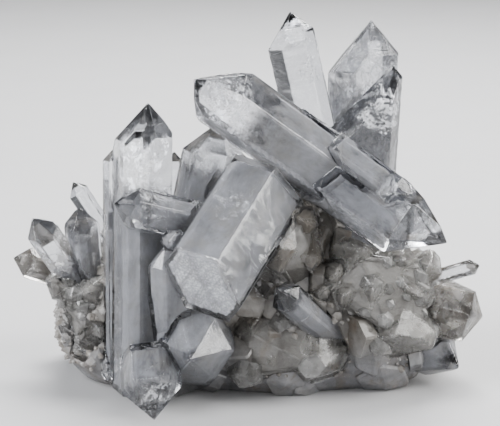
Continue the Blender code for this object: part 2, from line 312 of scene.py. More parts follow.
def new_tree(name, inputs):
    """A geometry tree that also takes the finish, with its web, output node and given values."""
    inputs = [("Geometry", GEOMETRY, None)] + inputs + [("Finish", MATERIAL, None)]
    tree, web, given, out = new_group(name, "GeometryNodeTree", inputs, [("Geometry", GEOMETRY)])
    return tree, web, out, given.outputs


MILK_CLOUDS = milk_clouds_group()
GROWTH_LINES = growth_lines_group()
STAINS = stains_group()


def new_material(name):
    material = bpy.data.materials.new(name)
    material.use_nodes = True
    material.node_tree.nodes.clear()
    web = Web(material.node_tree)
    return material, web, web.add("ShaderNodeOutputMaterial")


def use_group(web, tree, **values):
    node = web.add("ShaderNodeGroup", node_tree=tree)
    for key, value in values.items():
        web.put(node.inputs[key], value)
    return node.outputs


def growth_of(web):
    return web.add("ShaderNodeAttribute", attribute_name="growth").outputs["Vector"]


def place_in(web):
    return web.add("ShaderNodeTexCoord").outputs["Object"]


def principled(web, named):
    return web.add("ShaderNodeBsdfPrincipled", named=named).outputs[0]


def bumped(web, height, strength, distance):
    named = {"Strength": strength, "Distance": distance, "Height": height}
    return web.add("ShaderNodeBump", named=named).outputs[0]


def lets_light_in(web, shader, shade):
    """Rays from lamps and from matt surfaces pass straight through the glass, so that the heart is lit."""
    path = web.add("ShaderNodeLightPath")
    passing = web.maths("MAXIMUM", path.outputs["Is Shadow Ray"], path.outputs["Is Diffuse Ray"])
    opening = web.add("ShaderNodeBsdfTransparent", (shade,)).outputs[0]
    return web.add("ShaderNodeMixShader", (passing, shader, opening)).outputs[0]


RUST_ON_GLASS = grey(0.62, 0.44, 0.25)
RUST_IN_MILK = grey(0.24, 0.15, 0.075)
IRON_SPECKS = grey(0.035, 0.022, 0.013)
# White of etched faces, also painted on the faces that carry a painted highlight.
FROST_AND_HIGHLIGHT_WHITE = grey(0.74, 0.75, 0.77)


# The etched faces together with the faces that carry a painted highlight.
def frost_and_highlight_of(web):
    return web.add("ShaderNodeAttribute", attribute_name="frost").outputs["Fac"]


def skin_material(name, tint, gloss, worn, steps, mounds, grit, strength, stain=0.0, rim=0.0):
    """Glassy outside of a crystal: gloss is its smoothest roughness and worn its roughest."""
    material, web, out = new_material(name)
    growth = growth_of(web)
    place = place_in(web)
    height = use_group(web, GROWTH_LINES, Growth=growth, Steps=steps, Mounds=mounds, Grit=grit)["Height"]
    patches = web.ranged(web.cloud(growth, 150.0, 5.0, 0.65, 0.5), 0.46, 0.68)
    frost = frost_and_highlight_of(web)
    matt = web.maths("MAXIMUM", patches, frost)
    pits = web.times(web.cloud(growth, 1700.0, 4.0, 0.75), web.times(frost, 1.6))
    height = web.plus(height, pits)
    roughness = web.ranged(matt, 0.0, 1.0, gloss, worn, smooth=False)
    rust = use_group(web, STAINS, Place=place, Amount=stain)["Rust"]
    colour = web.mixed(rust, tint, RUST_ON_GLASS)
    named = {
        "Base Color": colour, "Roughness": roughness, "IOR": QUARTZ_IOR, "Transmission Weight": 1.0,
        "Normal": bumped(web, height, strength, 0.25 * MM),
        "Sheen Weight": rim, "Sheen Roughness": 0.35, "Sheen Tint": grey(0.95),
    }
    glass = principled(web, named)
    web.put(out.inputs["Surface"], lets_light_in(web, glass, grey(0.93)))
    return material


def frost_and_highlight_strokes(web, growth):
    """Fine white strokes across an etched face, and across a face painted with a highlight, stronger in some
    patches than in others.
    """
    sparkle = web.ranged(web.cloud(growth, 1500.0, 3.0, 0.7), 0.42, 0.7, 0.25, 1.0)
    combed = web.add("ShaderNodeMapping", (growth,)).outputs[0]
    combed.node.inputs["Scale"].default_value = (1.0, 0.12, 0.12)
    strokes = web.ranged(web.cloud(combed, 520.0, 4.0, 0.65), 0.36, 0.64, 0.35, 1.0)
    patches = web.ranged(web.cloud(growth, 210.0, 4.0), 0.36, 0.62, 0.4, 1.0)
    return web.times(web.times(sparkle, strokes), patches)


def iron_specks(web, place, stain):
    """Dark grains that gather in some parts of the crystal."""
    specks = web.ranged(web.cells(place, 560.0), 0.24, 0.12)
    gathered = web.ranged(web.cloud(place, 110.0, 3.0), 0.47, 0.58)
    return web.times(specks, web.times(gathered, 1.6 * stain, clamp=True))


def heart_material(name, dark, pale, warm, wisps, stain, glow):
    """Milk inside a crystal, thin where it meets the clear tip."""
    material, web, out = new_material(name)
    growth = growth_of(web)
    place = place_in(web)
    milk = web.add("ShaderNodeAttribute", attribute_name="milk").outputs["Fac"]
    clouds = use_group(web, MILK_CLOUDS, Growth=growth, Milk=milk, Wisps=wisps)
    marks = use_group(web, STAINS, Place=place, Amount=stain)
    colour = web.mixed(web.ranged(clouds["Cloud"], 0.2, 0.8), dark, pale)
    colour = web.mixed(web.times(marks["Dust"], 0.5), colour, warm)
    colour = web.mixed(web.times(marks["Rust"], 0.55), colour, RUST_IN_MILK)
    colour = web.mixed(iron_specks(web, place, stain), colour, IRON_SPECKS)
    # Etched faces and painted-highlight faces are painted white with strokes.
    colour = web.mixed(web.times(frost_and_highlight_of(web), frost_and_highlight_strokes(web, growth)), colour, FROST_AND_HIGHLIGHT_WHITE)
    named = {
        "Base Color": colour, "Roughness": 0.5, "IOR": 1.2, "Alpha": clouds["Mask"],
        "Subsurface Weight": glow, "Subsurface Radius": (1.0, 1.0, 1.05), "Subsurface Scale": 3.0 * MM,
        "Normal": bumped(web, clouds["Cloud"], 0.5, 0.6 * MM),
    }
    matter = principled(web, named)
    web.put(out.inputs["Surface"], matter)
    return material


CRACK_DULL, CRACK_SILVER = grey(0.5), grey(0.74, 0.75, 0.77)


def crack_material():
    """Healed cracks: broken silvery sheets, open between their islands."""
    material, web, out = new_material("healed_cracks")
    place = place_in(web)
    islands = web.ranged(web.cloud(place, 260.0, 6.0, 0.72, 1.2), 0.49, 0.56)
    dots = web.ranged(web.cells(place, 900.0), 0.36, 0.2)
    edge = web.add("ShaderNodeAttribute", attribute_name="edge").outputs["Fac"]
    both = web.maths("MAXIMUM", web.times(islands, 0.8), web.times(dots, 0.45))
    named = {
        "Base Color": web.mixed(islands, CRACK_DULL, CRACK_SILVER), "Roughness": 0.16, "IOR": 1.6,
        "Alpha": web.times(both, edge), "Metallic": 0.35,
        "Normal": bumped(web, web.cloud(place, 500.0, 4.0, 0.7), 0.7, 0.4 * MM),
    }
    web.put(out.inputs["Surface"], principled(web, named))
    return material


# Each stone has a dark and a pale colour, which clouds mix.
WARM_ROCK = grey(0.072, 0.067, 0.06), grey(0.165, 0.157, 0.145)
COOL_ROCK = grey(0.11, 0.111, 0.115), grey(0.215, 0.219, 0.232)
ROCK_DUST, ROCK_RUST, ROCK_GLINT = grey(0.24, 0.23, 0.215), grey(0.125, 0.088, 0.055), grey(0.36, 0.35, 0.34)


def rock_material():
    """The mass between the crystals: dull grey quartz, cooler low down, with rust and dust in its hollows."""
    material, web, out = new_material("matrix_stone")
    place = place_in(web)
    marks = use_group(web, STAINS, Place=place, Amount=0.55)
    grain = web.cloud(place, 650.0, 8.0, 0.72)
    crumbs = web.cells(place, 480.0)
    broad = web.cloud(place, 70.0, 5.0, 0.6, 0.5)
    height = web.add("ShaderNodeSeparateXYZ", (place,)).outputs["Z"]
    low = web.ranged(height, 22 * MM, 8 * MM)
    warm = web.mixed(web.ranged(broad, 0.35, 0.65), *WARM_ROCK)
    cool = web.mixed(web.ranged(broad, 0.35, 0.65), *COOL_ROCK)
    colour = web.mixed(web.times(low, 0.85), warm, cool)
    colour = web.mixed(web.times(marks["Dust"], 0.3), colour, ROCK_DUST)
    colour = web.mixed(web.times(marks["Rust"], 0.5), colour, ROCK_RUST)
    colour = web.mixed(web.times(web.ranged(grain, 0.55, 0.75), 0.3), colour, ROCK_GLINT)
    relief = web.plus(web.times(grain, 0.7), web.times(crumbs, 0.6))
    named = {
        "Base Color": colour, "Roughness": web.ranged(grain, 0.3, 0.7, 0.6, 0.25), "IOR": QUARTZ_IOR,
        "Subsurface Weight": 0.45, "Subsurface Radius": (1.0, 0.95, 0.9), "Subsurface Scale": 1.5 * MM,
        "Coat Weight": 0.6, "Coat Roughness": 0.1, "Normal": bumped(web, relief, 0.7, 0.6 * MM),
    }
    web.put(out.inputs["Surface"], principled(web, named))
    return material


def druse_material(name, dark, pale, clearness):
    """The crust of small crystals: partly clear, greyed and a little rusty."""
    material, web, out = new_material(name)
    place = place_in(web)
    marks = use_group(web, STAINS, Place=place, Amount=0.2)
    broad = web.cloud(place, 160.0, 4.0, 0.6)
    colour = web.mixed(web.ranged(broad, 0.35, 0.65), dark, pale)
    colour = web.mixed(web.times(marks["Rust"], 0.6), colour, grey(0.40, 0.25, 0.12))
    named = {
        "Base Color": colour, "Roughness": web.ranged(broad, 0.3, 0.7, 0.06, 0.3), "IOR": QUARTZ_IOR,
        "Transmission Weight": clearness, "Sheen Weight": 0.3, "Sheen Roughness": 0.3,
        "Normal": bumped(web, web.cloud(place, 1500.0, 3.0, 0.6), 0.25, 0.2 * MM),
    }
    glass = principled(web, named)
    web.put(out.inputs["Surface"], lets_light_in(web, glass, grey(0.6)))
    return material


SKINS = {
    "clear": skin_material("clear_skin", grey(0.75, 0.76, 0.785), 0.0, 0.05, 1.0, 0.5, 0.0, 0.18),
    "milky": skin_material("milky_skin", grey(0.80, 0.81, 0.83), 0.06, 0.24, 1.0, 0.4, 0.05, 0.17),
    "frosted": skin_material(
        "frosted_skin", grey(0.82, 0.815, 0.80), 0.2, 0.45, 0.6, 1.2, 0.35, 0.45, stain=0.2, rim=0.3),
    "smoky": skin_material(
        "smoky_skin", grey(0.77, 0.75, 0.725), 0.2, 0.4, 1.0, 1.0, 0.2, 0.35, stain=0.3, rim=0.2),
}
COOL_MILK = grey(0.15, 0.153, 0.164), grey(0.31, 0.316, 0.334)
WARM_DARK, WARM_PALE = grey(0.095, 0.089, 0.081), grey(0.215, 0.207, 0.193)
FROSTED_PALE = grey(0.25, 0.248, 0.241)
SMOKE = grey(0.08, 0.073, 0.065), grey(0.185, 0.176, 0.162)
SMOKE_WARM = grey(0.15, 0.137, 0.118)
HEARTS = {
    "clear": heart_material("clear_heart", *COOL_MILK, WARM_PALE, 1.1, 0.05, 0.5),
    "milky": heart_material("milky_heart", *COOL_MILK, WARM_PALE, 0.9, 0.08, 0.6),
    "frosted": heart_material("frosted_heart", WARM_DARK, FROSTED_PALE, WARM_PALE, 1.2, 0.35, 0.5),
    "smoky": heart_material("smoky_heart", *SMOKE, SMOKE_WARM, 1.2, 0.5, 0.5),
}
CRACKS = crack_material()


# ---------------------------------------------------------------- growth of the surfaces

def kept_above(web, geometry):
    """Flattens whatever hangs below the surface that the specimen rests on."""
    now = web.add("ShaderNodeSeparateXYZ", (web.add("GeometryNodeInputPosition").outputs[0],)).outputs
    height = web.maths("MAXIMUM", now["Z"], 0.0)
    raised = web.add("ShaderNodeCombineXYZ", (now["X"], now["Y"], height)).outputs[0]
    return web.add("GeometryNodeSetPosition", named={"Geometry": geometry, "Position": raised}).outputs[0]


def end_tree(web, out, geometry, finish):
    """Ends a tree: everything real, level with the ground, and with its finish."""
    real = web.add("GeometryNodeRealizeInstances", (geometry,)).outputs[0]
    named = {"Geometry": kept_above(web, real), "Material": finish}
    web.put(out.inputs[0], web.add("GeometryNodeSetMaterial", named=named).outputs[0])


def moved_along(web, geometry, normal, distance):
    shift = web.add("ShaderNodeVectorMath", (normal,), named={"Scale": distance}, operation="SCALE")
    named = {"Geometry": geometry, "Offset": shift.outputs[0]}
    return web.add("GeometryNodeSetPosition", named=named).outputs[0]


def finely_cut(web, take):
    """The given mesh, subdivided, with the fields of its places and normals."""
    facets = web.add("GeometryNodeTriangulate", (take["Geometry"],)).outputs[0]
    fine = web.add("GeometryNodeSubdivideMesh", (facets, take["Fineness"])).outputs[0]
    place = web.add("GeometryNodeInputPosition").outputs[0]
    return fine, place, web.add("GeometryNodeInputNormal").outputs[0]


def growth_steps(web, growth, depth, spacing):
    """A saw of slow treads and quick risers down the prism, in patches."""
    wander = web.cloud(growth, 60.0, 2.0, 0.5)
    saw = web.maths("FRACT", web.plus(web.maths("DIVIDE", depth, spacing), web.times(wander, 3.0)))
    tread = web.ranged(saw, 0.0, 0.75, 0.0, 1.0)
    riser = web.ranged(saw, 0.9, 1.0, 1.0, 0.0)
    patch = web.ranged(web.cloud(growth, 90.0, 2.0, 0.5), 0.42, 0.56)
    return web.times(tread, riser), patch


def growth_tree():
    """Subdivides a crystal, steps its prism faces, mounds its end faces, and stores how it grew."""
    tree, web, out, take = new_tree("quartz_growth", [
        ("Tip", VECTOR, None), ("Along", VECTOR, None),
        ("Right", VECTOR, None), ("Forward", VECTOR, None), ("Fineness", INT, 2),
        ("Inset", FLOAT, 0.0), ("Step Depth", FLOAT, 0.0), ("Step Spacing", FLOAT, 5 * MM),
        ("Mound Depth", FLOAT, 0.0), ("Clear Length", FLOAT, 0.0), ("Fade Length", FLOAT, 1.0),
        ("Milkiness", FLOAT, 1.0), ("Frosted Side", VECTOR, None), ("Bright Side", VECTOR, None),
    ])
    fine, place, normal = finely_cut(web, take)
    reach = web.vector("SUBTRACT", place, take["Tip"])
    depth = web.times(web.vector("DOT_PRODUCT", reach, take["Along"]), -1.0)
    sideways = web.vector("DOT_PRODUCT", reach, take["Right"])
    ahead = web.vector("DOT_PRODUCT", reach, take["Forward"])
    growth = web.add("ShaderNodeCombineXYZ", (sideways, ahead, depth)).outputs[0]
    steep = web.maths("ABSOLUTE", web.vector("DOT_PRODUCT", normal, take["Along"]))
    prism = web.ranged(steep, 0.35, 0.15)
    saw, patch = growth_steps(web, growth, depth, take["Step Spacing"])
    steps = web.times(web.times(saw, web.times(patch, prism)), take["Step Depth"])
    ends = web.ranged(steep, 0.3, 0.6, 0.35, 1.0)
    mounds = web.ranged(web.cells(growth, 150.0), 0.15, 0.75)
    mounds = web.times(mounds, web.times(take["Mound Depth"], ends))
    frost = web.ranged(web.vector("DOT_PRODUCT", normal, take["Frosted Side"]), 0.84, 0.93)
    # Faces turned to the painted-highlight side are a painted highlight: they join the etched faces, with
    # their milk full and close under the skin.
    bright = web.ranged(web.vector("DOT_PRODUCT", normal, take["Bright Side"]), 0.84, 0.93)
    frost = web.maths("MAXIMUM", frost, web.times(bright, 0.9))
    inset = web.times(take["Inset"], web.minus(1.0, web.times(frost, 0.75)))
    inward = web.plus(web.plus(steps, mounds), inset)
    moved = moved_along(web, fine, normal, web.times(inward, -1.0))
    thick = web.maths("DIVIDE", web.minus(depth, take["Clear Length"]), take["Fade Length"])
    milk = web.times(web.ranged(thick, 0.0, 1.0), take["Milkiness"])
    milk = web.maths("MAXIMUM", milk, frost)
    stored = (("growth", "FLOAT_VECTOR", growth), ("milk", "FLOAT", milk), ("frost", "FLOAT", frost))
    for label, kind, value in stored:
        store = web.add("GeometryNodeStoreNamedAttribute", data_type=kind, domain="POINT")
        web.put(store.inputs["Geometry"], moved)
        web.put(store.inputs["Name"], label)
        web.put(store.inputs["Value"], value)
        moved = store.outputs[0]
    end_tree(web, out, moved, take["Finish"])
    return tree


GROWTH_TREE = growth_tree()


def set_inputs(modifier, tree, values):
    """Sets a modifier's inputs by the identifiers of the tree's sockets."""
    for item in tree.interface.items_tree:
        if item.item_type == "SOCKET" and item.in_out == "INPUT" and item.name in values:
            modifier[item.identifier] = values[item.name]


def linked(name, data):
    obj = bpy.data.objects.new(name, data)
    bpy.context.scene.collection.objects.link(obj)
    return obj


def as_plain_mesh(obj, name):
    """Takes the object with its modifiers done, and removes the object it came from."""
    graph = bpy.context.evaluated_depsgraph_get()
    done = obj.evaluated_get(graph)
    mesh = bpy.data.meshes.new_from_object(done, preserve_all_data_layers=True, depsgraph=graph)
    bpy.data.objects.remove(obj)
    mesh.name = name
    return linked(name, mesh)


def link_mesh(name, bm):
    mesh = bpy.data.meshes.new(name)
    bm.to_mesh(mesh)
    bm.free()
    return linked(name, mesh)


def solid_of(node):
    """A merged copy of a CAD node, with its flat faces made whole again."""
    bm = bmesh.new()
    bm.from_mesh(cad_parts[node].data)
    bmesh.ops.remove_doubles(bm, verts=bm.verts, dist=MERGE)
    bmesh.ops.dissolve_limit(bm, angle_limit=FLAT_ANGLE, verts=bm.verts, edges=bm.edges)
    for layer in list(bm.loops.layers.uv):
        bm.loops.layers.uv.remove(layer)
    return bm


def break_edges(bm, width):
    """A narrow flat along each sharp edge, as a worn crystal has."""
    bmesh.ops.remove_doubles(bm, verts=bm.verts, dist=TINY)
    sharp = [e for e in bm.edges if e.is_manifold and e.calc_face_angle() > BEVEL_ANGLE]
    bmesh.ops.bevel(bm, geom=sharp, offset=width, segments=2, profile=0.6, affect="EDGES", clamp_overlap=True)


def slice_up(bm, crystal, cell):
    """Cuts the faces into a grid that follows the crystal's own directions."""
    for direction in (crystal.along, crystal.right, crystal.forward):
        reach = [v.co.dot(direction) for v in bm.verts]
        count = max(1, int((max(reach) - min(reach)) / cell))
        for step in range(1, count):
            level = min(reach) + (max(reach) - min(reach)) * step / count
            geometry = bm.verts[:] + bm.edges[:] + bm.faces[:]
            point = direction * level
            bmesh.ops.bisect_plane(bm, geom=geometry, plane_co=point, plane_no=direction, dist=1e-7)


def faceted(obj, share, edge):
    """Turns an even mesh into flat facets with narrow broken edges."""
    facets = obj.modifiers.new("facets", "DECIMATE")
    facets.ratio = share
    edges = obj.modifiers.new("edges", "BEVEL")
    edges.width = edge
    edges.segments = 1
    edges.limit_method = "ANGLE"
    edges.angle_limit = SHARP_ANGLE


def remeshed(obj, voxel, smoothing=0):
    remesh = obj.modifiers.new("remesh", "REMESH")
    remesh.mode = "VOXEL"
    remesh.voxel_size = voxel
    if smoothing:
        smooth = obj.modifiers.new("smooth", "SMOOTH")
        smooth.factor = 0.5
        smooth.iterations = smoothing


def grown(obj, name, crystal, finish, **sizes):
    """Runs the growth tree on an object and returns the plain piece."""
    modifier = obj.modifiers.new("growth", "NODES")
    modifier.node_group = GROWTH_TREE
    values = {
        "Tip": crystal.tip, "Along": crystal.along, "Right": crystal.right, "Forward": crystal.forward,
        "Clear Length": crystal.clear * MM, "Fade Length": crystal.fade * MM,
        "Milkiness": crystal.milk, "Finish": finish,
        "Frosted Side": crystal.frosted, "Bright Side": crystal.bright,
    }
    for key, size in sizes.items():
        values[key.replace("_", " ").title()] = size
    set_inputs(modifier, GROWTH_TREE, values)
    piece = as_plain_mesh(obj, name)
    piece.data.shade_smooth()
    piece.data.set_sharp_from_angle(angle=SHARP_ANGLE)
    return piece


STEP_DEPTH = {"clear": 0.10 * MM, "milky": 0.10 * MM, "frosted": 0.1 * MM, "smoky": 0.12 * MM}
MOUND_DEPTH = {"clear": 0.05 * MM, "milky": 0.06 * MM, "frosted": 0.3 * MM, "smoky": 0.25 * MM}
LUMP_EDGE = 0.8 * MM
HEART_VOXEL = 1.1 * MM
SKIN_SWELL = 0.18 * MM
LUMP_SWELL = 0.5 * MM
DEEP, SHALLOW = 1.8 * MM, 1.1 * MM


def make_skin(crystal):
    bm = solid_of(crystal.name)
    break_edges(bm, LUMP_EDGE if crystal.lump else EDGE_WIDTH)
    slice_up(bm, crystal, CELL)
    obj = link_mesh("rough", bm)
    fineness, swell = 2, LUMP_SWELL if crystal.lump else SKIN_SWELL
    look = crystal.look
    piece = grown(obj, crystal.name + "_skin", crystal, SKINS[look], fineness=fineness,
                  step_depth=STEP_DEPTH[look], mound_depth=MOUND_DEPTH[look], inset=-swell)
    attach(piece, "root")
    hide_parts(crystal.name)
    return piece


def make_heart(crystal):
    obj = link_mesh("rough", solid_of(crystal.name))
    remeshed(obj, HEART_VOXEL, 4)
    depth = DEEP if crystal in HEROES else SHALLOW
    piece = grown(obj, crystal.name + "_heart", crystal, HEARTS[crystal.look], fineness=0, inset=depth)
    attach(piece, "root")
    return piece


def room_inside(bvh, point):
    """How far a point lies inside a closed solid; below zero outside it."""
    spot, normal, _, distance = bvh.find_nearest(point)
    return distance if (spot - point).dot(normal) > 0 else -distance


CRACK_ROOM = 0.7 * MM
CRACK_CELLS = 26
# Waves of a crumpled sheet: how many a metre, and how high in mm.
CRUMPLES = ((160, 0.9), (480, 0.35))


def crack_sheet(bm, bvh, centre, normal, size, draw):
    """One crumpled sheet inside the solid, fading to nothing at its rim."""
    edge = bm.verts.layers.float.get("edge") or bm.verts.layers.float.new("edge")
    across = normal.orthogonal().normalized()
    up = normal.cross(across)
    offset = Vector((draw.random(), draw.random(), draw.random())) * 10
    rows = []
    for i in range(CRACK_CELLS + 1):
        row = []
        for j in range(CRACK_CELLS + 1):
            u, v = 2 * i / CRACK_CELLS - 1, 2 * j / CRACK_CELLS - 1
            flat = centre + (across * u + up * v) * size
            crumple = sum(noise.noise(flat * pitch + offset) * height for pitch, height in CRUMPLES)
            place = flat + normal * crumple * MM
            row.append((place, room_inside(bvh, place), math.hypot(u, v)))
        rows.append(row)
    made = {}

    def vertex(i, j):
        if (i, j) not in made:
            place, room, radius = rows[i][j]
            made[i, j] = bm.verts.new(place)
            fade = min(1.0, max(0.0, (1.0 - radius) * 2.5)) * min(1.0, (room - CRACK_ROOM) / MM)
            made[i, j][edge] = max(0.0, fade)
        return made[i, j]

    for i in range(CRACK_CELLS):
        for j in range(CRACK_CELLS):
            corners = [(i, j), (i + 1, j), (i + 1, j + 1), (i, j + 1)]
            if all(rows[a][b][1] > CRACK_ROOM and rows[a][b][2] < 1.0 for a, b in corners):
                bm.faces.new([vertex(a, b) for a, b in corners])


def make_cracks(crystal):
    """Healed cracks: seeded ones behind the tip, placed by the crystal's width, then the given breaks."""
    solid = solid_of(crystal.name)
    bvh = BVHTree.FromBMesh(solid)
    width = min(
        max(v.co.dot(d) for v in solid.verts) - min(v.co.dot(d) for v in solid.verts)
        for d in (crystal.right, crystal.forward)
    )
    draw = random.Random(crystal.name)
    bm = bmesh.new()
    for _ in range(crystal.cracks):
        depth = draw.uniform(0.35, 1.9) * width
        side = draw.uniform(-0.25, 0.25) * width
        ahead = draw.uniform(-0.1, 0.3) * width
        centre = crystal.tip - crystal.along * depth + crystal.right * side + crystal.forward * ahead
        lean = Vector((draw.uniform(-1, 1), draw.uniform(-1, 1), draw.uniform(-1, 1)))
        normal = (crystal.along * draw.choice((0.2, 1.0)) + crystal.forward * 0.5 + lean * 0.6).normalized()
        crack_sheet(bm, bvh, centre, normal, draw.uniform(0.3, 0.6) * width, draw)
    for centre, normal, size in crystal.breaks:
        crack_sheet(bm, bvh, centre, normal.normalized(), size, draw)
    solid.free()
    if not bm.faces:
        bm.free()
        return
    piece = link_mesh(crystal.name + "_cracks", bm)
    piece.data.materials.append(CRACKS)
    piece.data.shade_smooth()
    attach(piece, "root")


for crystal in CRYSTALS:
    make_skin(crystal)
    make_heart(crystal)
    if crystal.cracks:
        make_cracks(crystal)


# ---------------------------------------------------------------- rock and druse

ROCK_VOXEL = 0.9 * MM
ROCK_FACETS = 0.016
OPEN_REACH = 4 * MM
LENGTH_SEED = 7
# Left of the one and behind the other, the rock is covered with druse.
CRUMBLY_LEFT, CRUMBLY_BACK = -38 * MM, 2 * MM


def rock_tree():
    """Roughens the rock with crumbs and pits."""
    tree, web, out, take = new_tree("rock_surface", [
        ("Fineness", INT, 2), ("Crumb Depth", FLOAT, 1.0 * MM), ("Grain Depth", FLOAT, 0.4 * MM),
        ("Swell", FLOAT, 1.0 * MM),
    ])
    fine, place, normal = finely_cut(web, take)
    crumbs = web.times(web.cells(place, 190.0), take["Crumb Depth"])
    grain = web.times(web.cloud(place, 420.0, 4.0, 0.65), take["Grain Depth"])
    swollen = web.minus(take["Swell"], web.plus(crumbs, grain))
    end_tree(web, out, moved_along(web, fine, normal, swollen), take["Finish"])
    return tree


def rough_stone(obj, name, tree, smoothing, sizes):
    """Turns an object into facets, roughens it and returns the plain piece."""
    remeshed(obj, ROCK_VOXEL, smoothing)
    faceted(obj, ROCK_FACETS, 0.5 * EDGE_WIDTH)
    modifier = obj.modifiers.new("surface", "NODES")
    modifier.node_group = tree
    set_inputs(modifier, tree, sizes)
    piece = as_plain_mesh(obj, name)
    piece.data.shade_smooth()
    piece.data.set_sharp_from_angle(angle=SHARP_ANGLE)
    return piece


def make_rock(tree, finish):
    obj = link_mesh("rough", solid_of("matrix_rock"))
    sizes = {"Crumb Depth": 0.5 * MM, "Grain Depth": 0.35 * MM, "Swell": 1.8 * MM, "Finish": finish}
    piece = rough_stone(obj, "matrix_stone", tree, 1, sizes)
    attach(piece, "root")
    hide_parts("matrix_rock")
    return piece


def crystals_bvh():
    """All the crystals as one search tree, to tell what stands in the way of the druse."""
    points, faces = [], []
    for crystal in CRYSTALS:
        bm = solid_of(crystal.name)
        start = len(points)
        bm.verts.index_update()
        points += [v.co.copy() for v in bm.verts]
        faces += [[start + v.index for v in f.verts] for f in bm.faces]
        bm.free()
    return BVHTree.FromPolygons(points, faces)


def little_crystal(name, radius, shoulder, apex):
    """A six-sided point with narrow broken edges. Its sizes are shares of its length, from the ground up."""
    bm = bmesh.new()
    rings = []
    for height in (-0.3, shoulder):
        ring = []
        for k in range(6):
            turn = math.radians(60 * k)
            wide = radius * (1.0 + 0.12 * math.cos(2.3 * k))
            ring.append(bm.verts.new((wide * math.cos(turn), wide * math.sin(turn), height)))
        rings.append(ring)
    top = bm.verts.new((0.12 * radius, 0.06 * radius, apex))
    for k in range(6):
        after = (k + 1) % 6
        bm.faces.new((rings[0][k], rings[0][after], rings[1][after], rings[1][k]))
        bm.faces.new((rings[1][k], rings[1][after], top))
    bm.faces.new(rings[0][::-1])
    upper = [e for e in bm.edges if max(v.co.z for v in e.verts) > 0]
    width = 0.07 * radius
    bmesh.ops.bevel(bm, geom=upper, offset=width, segments=1, profile=0.5, affect="EDGES", clamp_overlap=True)
    return link_mesh(name, bm)


def druse_tree():
    """Small crystals standing on the open faces of the rock."""
    tree, web, out, take = new_tree("druse", [
        ("Crystal", OBJECT, None), ("Spacing", FLOAT, 2 * MM), ("Density", FLOAT, 300000.0),
        ("Shortest", FLOAT, 2 * MM), ("Longest", FLOAT, 6 * MM), ("Tilt", FLOAT, 0.6), ("Seed", INT, 1),
    ])
    open_face = web.add("GeometryNodeInputNamedAttribute", data_type="FLOAT", named={"Name": "open"})
    is_open = web.maths("GREATER_THAN", open_face.outputs["Attribute"], 0.5)
    scatter = web.add("GeometryNodeDistributePointsOnFaces", distribute_method="POISSON", named={
        "Mesh": take["Geometry"], "Selection": is_open, "Distance Min": take["Spacing"],
        "Density Max": take["Density"], "Seed": take["Seed"],
    })
    low, high = web.times(take["Tilt"], -1.0), take["Tilt"]
    tilt = web.add("FunctionNodeRandomValue", data_type="FLOAT_VECTOR", named={
        "Min": web.add("ShaderNodeCombineXYZ", (low,) * 3).outputs[0],
        "Max": web.add("ShaderNodeCombineXYZ", (high,) * 3).outputs[0], "Seed": take["Seed"],
    })
    lean = web.vector("ADD", scatter.outputs["Normal"], tilt.outputs[0])
    turn = web.add("FunctionNodeAlignRotationToVector", axis="Z", named={"Vector": lean})
    size = web.add("FunctionNodeRandomValue", data_type="FLOAT", named={"Seed": LENGTH_SEED})
    floats = [socket for socket in size.inputs if socket.type == "VALUE" and socket.enabled]
    web.put(floats[0], 0.0)
    web.put(floats[1], 1.0)
    chance = next(socket for socket in size.outputs if socket.type == "VALUE" and socket.enabled)
    share = web.maths("POWER", chance, 2.5)
    length = web.ranged(share, 0.0, 1.0, take["Shortest"], take["Longest"], smooth=False)
    info = web.add("GeometryNodeObjectInfo", named={"Object": take["Crystal"]})
    stand = web.add("GeometryNodeInstanceOnPoints", named={
        "Points": scatter.outputs["Points"], "Instance": info.outputs["Geometry"],
        "Rotation": turn.outputs[0],
        "Scale": web.add("ShaderNodeCombineXYZ", (length,) * 3).outputs[0],
    })
    end_tree(web, out, stand.outputs[0], take["Finish"])
    return tree


MASS_QUARTZ = grey(0.095, 0.09, 0.083), grey(0.2, 0.196, 0.186)
MASS_VEIL, MASS_RUST = grey(0.31, 0.307, 0.302), grey(0.17, 0.115, 0.065)


def mass_material():
    """Cloudy grey quartz that the small crystals are sunk in."""
    material, web, out = new_material("massive_quartz")
    place = place_in(web)
    marks = use_group(web, STAINS, Place=place, Amount=0.4)
    broad = web.cloud(place, 90.0, 6.0, 0.65, 0.7)
    fine = web.cloud(place, 800.0, 5.0, 0.7)
    lines = use_group(web, GROWTH_LINES, Growth=place, Steps=0.7, Mounds=1.2, Grit=0.5)["Height"]
    colour = web.mixed(web.ranged(broad, 0.3, 0.7), *MASS_QUARTZ)
    colour = web.mixed(web.times(web.ranged(fine, 0.5, 0.7), 0.4), colour, MASS_VEIL)
    colour = web.mixed(web.times(marks["Rust"], 0.4), colour, MASS_RUST)
    named = {
        "Base Color": colour, "Roughness": web.ranged(fine, 0.3, 0.7, 0.5, 0.18), "IOR": QUARTZ_IOR,
        "Subsurface Weight": 0.5, "Subsurface Radius": (1.0, 1.0, 1.0), "Subsurface Scale": 2.0 * MM,
        "Coat Weight": 0.5, "Coat Roughness": 0.08, "Normal": bumped(web, lines, 0.6, 0.5 * MM),
    }
    web.put(out.inputs["Surface"], principled(web, named))
    return material


# Each mass: its neighbours, how deep it is drawn in, and its crust's spacing and lengths in mm.
MASSES = {
    "right_mass": (["crowd_" + count for count in CROWD_TIPS] + ["great_lump"], 3.4 * MM, (4.2, 4.5, 13)),
    "middle_mass": (["middle_left", "middle_right", "middle_high", "middle_low"], 2.6 * MM, None),
    "foot_mass": (
        ["hearth_high", "hearth_low", "hearth_foot", "frosted_foot", "middle_low"], 2.0 * MM, (7.5, 9, 18)),
    "left_mass": (["left_low", "left_knuckle", "left_crumb_high", "left_crumb_low"], 2.6 * MM, (3.0, 4, 9)),
}


